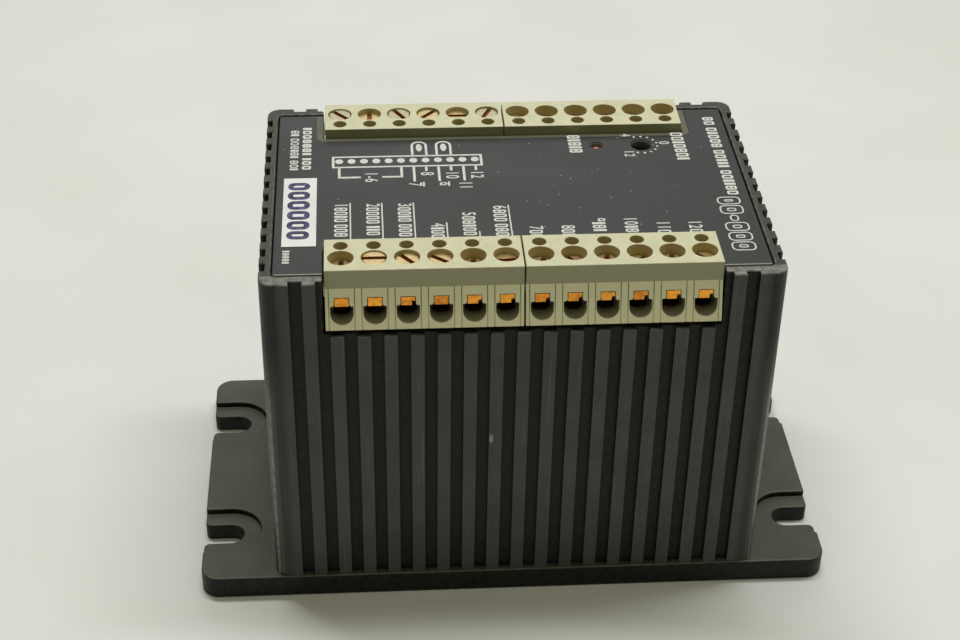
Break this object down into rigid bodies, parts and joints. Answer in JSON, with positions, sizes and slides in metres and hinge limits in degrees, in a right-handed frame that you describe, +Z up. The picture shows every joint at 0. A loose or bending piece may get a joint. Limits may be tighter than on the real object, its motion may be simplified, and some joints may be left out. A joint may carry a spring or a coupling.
{
  "type": "stepper motor driver",
  "caption": "Black finned heat-sink box on a flange with open mounting slots, with rows of beige screw terminals along both top edges and a dark printed nameplate between them.",
  "frame": {"origin": "centre of the base plate's underside", "axes": "+X along the base plate's long side, towards the right ear seen from the front terminals; +Y from the front terminals to the rear ones; +Z up, away from the mounting surface"},
  "size_m": [0.105, 0.0554, 0.0636],
  "materials": {
    "coated_case": "black coated die casting, satin",
    "coated_base": "black coated die casting, satin",
    "printed_film": "charcoal film with white print",
    "white_sticker": "white vinyl",
    "pebble_plastic": "pebble beige polyamide, satin",
    "tinned_steel": "tin plated",
    "copper_leaf": "copper alloy, satin",
    "screw_nickel": "yellowed nickel plate",
    "black_plastic": "moulded black plastic",
    "lamp_lens": "milky red lens",
    "circuit_board": "green solder mask",
    "chip_epoxy": "black epoxy",
    "capacitor_sleeve": "shrink sleeve",
    "ceramic": "white ceramic",
    "zinc_steel": "zinc plated"
  },
  "bodies": {
    "root": {"base_plate": "coated_base", "finned_case": "coated_case", "top_cover": "coated_case", "nameplate_film": "printed_film", "serial_sticker": "white_sticker", "front_left_terminal_housing": "pebble_plastic", "front_left_wire_clamps": "tinned_steel", "front_left_wire_guards": "copper_leaf", "front_right_terminal_housing": "pebble_plastic", "front_right_wire_clamps": "tinned_steel", "front_right_wire_guards": "copper_leaf", "rear_left_terminal_housing": "pebble_plastic", "rear_left_wire_clamps": "tinned_steel", "rear_left_wire_guards": "copper_leaf", "rear_right_terminal_housing": "pebble_plastic", "rear_right_wire_clamps": "tinned_steel", "rear_right_wire_guards": "copper_leaf", "dial_switch_housing": "black_plastic", "alarm_lamp": "lamp_lens", "lamp_spacer": "black_plastic", "terminal_board": "circuit_board", "power_board": "circuit_board", "board_link_header": "black_plastic", "driver_modules": "chip_epoxy", "module_screws": "zinc_steel", "smoothing_capacitors": "capacitor_sleeve", "sense_resistors": "ceramic", "controller_chip": "chip_epoxy", "opto_couplers": "chip_epoxy", "supply_regulator": "chip_epoxy", "board_standoffs": "zinc_steel", "board_pillars": "zinc_steel", "board_screws": "zinc_steel", "case_screws": "zinc_steel", "cover_screws": "zinc_steel"},
    "front_screw_1": {"front_terminal_screw_1": "screw_nickel"},
    "front_screw_2": {"front_terminal_screw_2": "screw_nickel"},
    "front_screw_3": {"front_terminal_screw_3": "screw_nickel"},
    "front_screw_4": {"front_terminal_screw_4": "screw_nickel"},
    "front_screw_5": {"front_terminal_screw_5": "screw_nickel"},
    "front_screw_6": {"front_terminal_screw_6": "screw_nickel"},
    "front_screw_7": {"front_terminal_screw_7": "screw_nickel"},
    "front_screw_8": {"front_terminal_screw_8": "screw_nickel"},
    "front_screw_9": {"front_terminal_screw_9": "screw_nickel"},
    "front_screw_10": {"front_terminal_screw_10": "screw_nickel"},
    "front_screw_11": {"front_terminal_screw_11": "screw_nickel"},
    "front_screw_12": {"front_terminal_screw_12": "screw_nickel"},
    "rear_screw_1": {"rear_terminal_screw_1": "screw_nickel"},
    "rear_screw_2": {"rear_terminal_screw_2": "screw_nickel"},
    "rear_screw_3": {"rear_terminal_screw_3": "screw_nickel"},
    "rear_screw_4": {"rear_terminal_screw_4": "screw_nickel"},
    "rear_screw_5": {"rear_terminal_screw_5": "screw_nickel"},
    "rear_screw_6": {"rear_terminal_screw_6": "screw_nickel"},
    "rear_screw_7": {"rear_terminal_screw_7": "screw_nickel"},
    "rear_screw_8": {"rear_terminal_screw_8": "screw_nickel"},
    "rear_screw_9": {"rear_terminal_screw_9": "screw_nickel"},
    "rear_screw_10": {"rear_terminal_screw_10": "screw_nickel"},
    "rear_screw_11": {"rear_terminal_screw_11": "screw_nickel"},
    "rear_screw_12": {"rear_terminal_screw_12": "screw_nickel"},
    "dial_rotor": {"dial_switch_rotor": "black_plastic"}
  },
  "joints": [
    {"name": "front_screw_1_turn", "type": "hinge", "parent": "root", "child": "front_screw_1", "pos_m": [-0.02763, -0.02244, 0.06215], "axis": [0, 0, 1], "range_deg": [-1000, 1120]},
    {"name": "front_screw_2_turn", "type": "hinge", "parent": "root", "child": "front_screw_2", "pos_m": [-0.02263, -0.02244, 0.0635], "axis": [0, 0, 1], "range_deg": [-2080, 40]},
    {"name": "front_screw_3_turn", "type": "hinge", "parent": "root", "child": "front_screw_3", "pos_m": [-0.01763, -0.02244, 0.06315], "axis": [0, 0, 1], "range_deg": [-1800, 320]},
    {"name": "front_screw_4_turn", "type": "hinge", "parent": "root", "child": "front_screw_4", "pos_m": [-0.01263, -0.02244, 0.063], "axis": [0, 0, 1], "range_deg": [-1680, 440]},
    {"name": "front_screw_5_turn", "type": "hinge", "parent": "root", "child": "front_screw_5", "pos_m": [-0.00763, -0.02244, 0.06195], "axis": [0, 0, 1], "range_deg": [-840, 1280]},
    {"name": "front_screw_6_turn", "type": "hinge", "parent": "root", "child": "front_screw_6", "pos_m": [-0.00263, -0.02244, 0.0626], "axis": [0, 0, 1], "range_deg": [-1360, 760]},
    {"name": "front_screw_7_turn", "type": "hinge", "parent": "root", "child": "front_screw_7", "pos_m": [0.00263, -0.02244, 0.06195], "axis": [0, 0, 1], "range_deg": [-840, 1280]},
    {"name": "front_screw_8_turn", "type": "hinge", "parent": "root", "child": "front_screw_8", "pos_m": [0.00763, -0.02244, 0.062], "axis": [0, 0, 1], "range_deg": [-880, 1240]},
    {"name": "front_screw_9_turn", "type": "hinge", "parent": "root", "child": "front_screw_9", "pos_m": [0.01263, -0.02244, 0.06215], "axis": [0, 0, 1], "range_deg": [-1000, 1120]},
    {"name": "front_screw_10_turn", "type": "hinge", "parent": "root", "child": "front_screw_10", "pos_m": [0.01763, -0.02244, 0.06185], "axis": [0, 0, 1], "range_deg": [-760, 1360]},
    {"name": "front_screw_11_turn", "type": "hinge", "parent": "root", "child": "front_screw_11", "pos_m": [0.02263, -0.02244, 0.062], "axis": [0, 0, 1], "range_deg": [-880, 1240]},
    {"name": "front_screw_12_turn", "type": "hinge", "parent": "root", "child": "front_screw_12", "pos_m": [0.02763, -0.02244, 0.06215], "axis": [0, 0, 1], "range_deg": [-1000, 1120]},
    {"name": "rear_screw_1_turn", "type": "hinge", "parent": "root", "child": "rear_screw_1", "pos_m": [-0.02763, 0.02244, 0.0635], "axis": [0, 0, 1], "range_deg": [-2080, 40]},
    {"name": "rear_screw_2_turn", "type": "hinge", "parent": "root", "child": "rear_screw_2", "pos_m": [-0.02263, 0.02244, 0.06295], "axis": [0, 0, 1], "range_deg": [-1640, 480]},
    {"name": "rear_screw_3_turn", "type": "hinge", "parent": "root", "child": "rear_screw_3", "pos_m": [-0.01763, 0.02244, 0.0635], "axis": [0, 0, 1], "range_deg": [-2080, 40]},
    {"name": "rear_screw_4_turn", "type": "hinge", "parent": "root", "child": "rear_screw_4", "pos_m": [-0.01263, 0.02244, 0.06335], "axis": [0, 0, 1], "range_deg": [-1960, 160]},
    {"name": "rear_screw_5_turn", "type": "hinge", "parent": "root", "child": "rear_screw_5", "pos_m": [-0.00763, 0.02244, 0.063], "axis": [0, 0, 1], "range_deg": [-1680, 440]},
    {"name": "rear_screw_6_turn", "type": "hinge", "parent": "root", "child": "rear_screw_6", "pos_m": [-0.00263, 0.02244, 0.0634], "axis": [0, 0, 1], "range_deg": [-2000, 120]},
    {"name": "rear_screw_7_turn", "type": "hinge", "parent": "root", "child": "rear_screw_7", "pos_m": [0.00263, 0.02244, 0.06205], "axis": [0, 0, 1], "range_deg": [-920, 1200]},
    {"name": "rear_screw_8_turn", "type": "hinge", "parent": "root", "child": "rear_screw_8", "pos_m": [0.00763, 0.02244, 0.06175], "axis": [0, 0, 1], "range_deg": [-680, 1440]},
    {"name": "rear_screw_9_turn", "type": "hinge", "parent": "root", "child": "rear_screw_9", "pos_m": [0.01263, 0.02244, 0.06165], "axis": [0, 0, 1], "range_deg": [-600, 1520]},
    {"name": "rear_screw_10_turn", "type": "hinge", "parent": "root", "child": "rear_screw_10", "pos_m": [0.01763, 0.02244, 0.0617], "axis": [0, 0, 1], "range_deg": [-640, 1480]},
    {"name": "rear_screw_11_turn", "type": "hinge", "parent": "root", "child": "rear_screw_11", "pos_m": [0.02263, 0.02244, 0.06175], "axis": [0, 0, 1], "range_deg": [-680, 1440]},
    {"name": "rear_screw_12_turn", "type": "hinge", "parent": "root", "child": "rear_screw_12", "pos_m": [0.02763, 0.02244, 0.06155], "axis": [0, 0, 1], "range_deg": [-520, 1600]},
    {"name": "current_dial_turn", "type": "hinge", "parent": "root", "child": "dial_rotor", "pos_m": [0.0227, 0.0126, 0.0598], "axis": [0, 0, 1], "continuous": true}
  ]
}
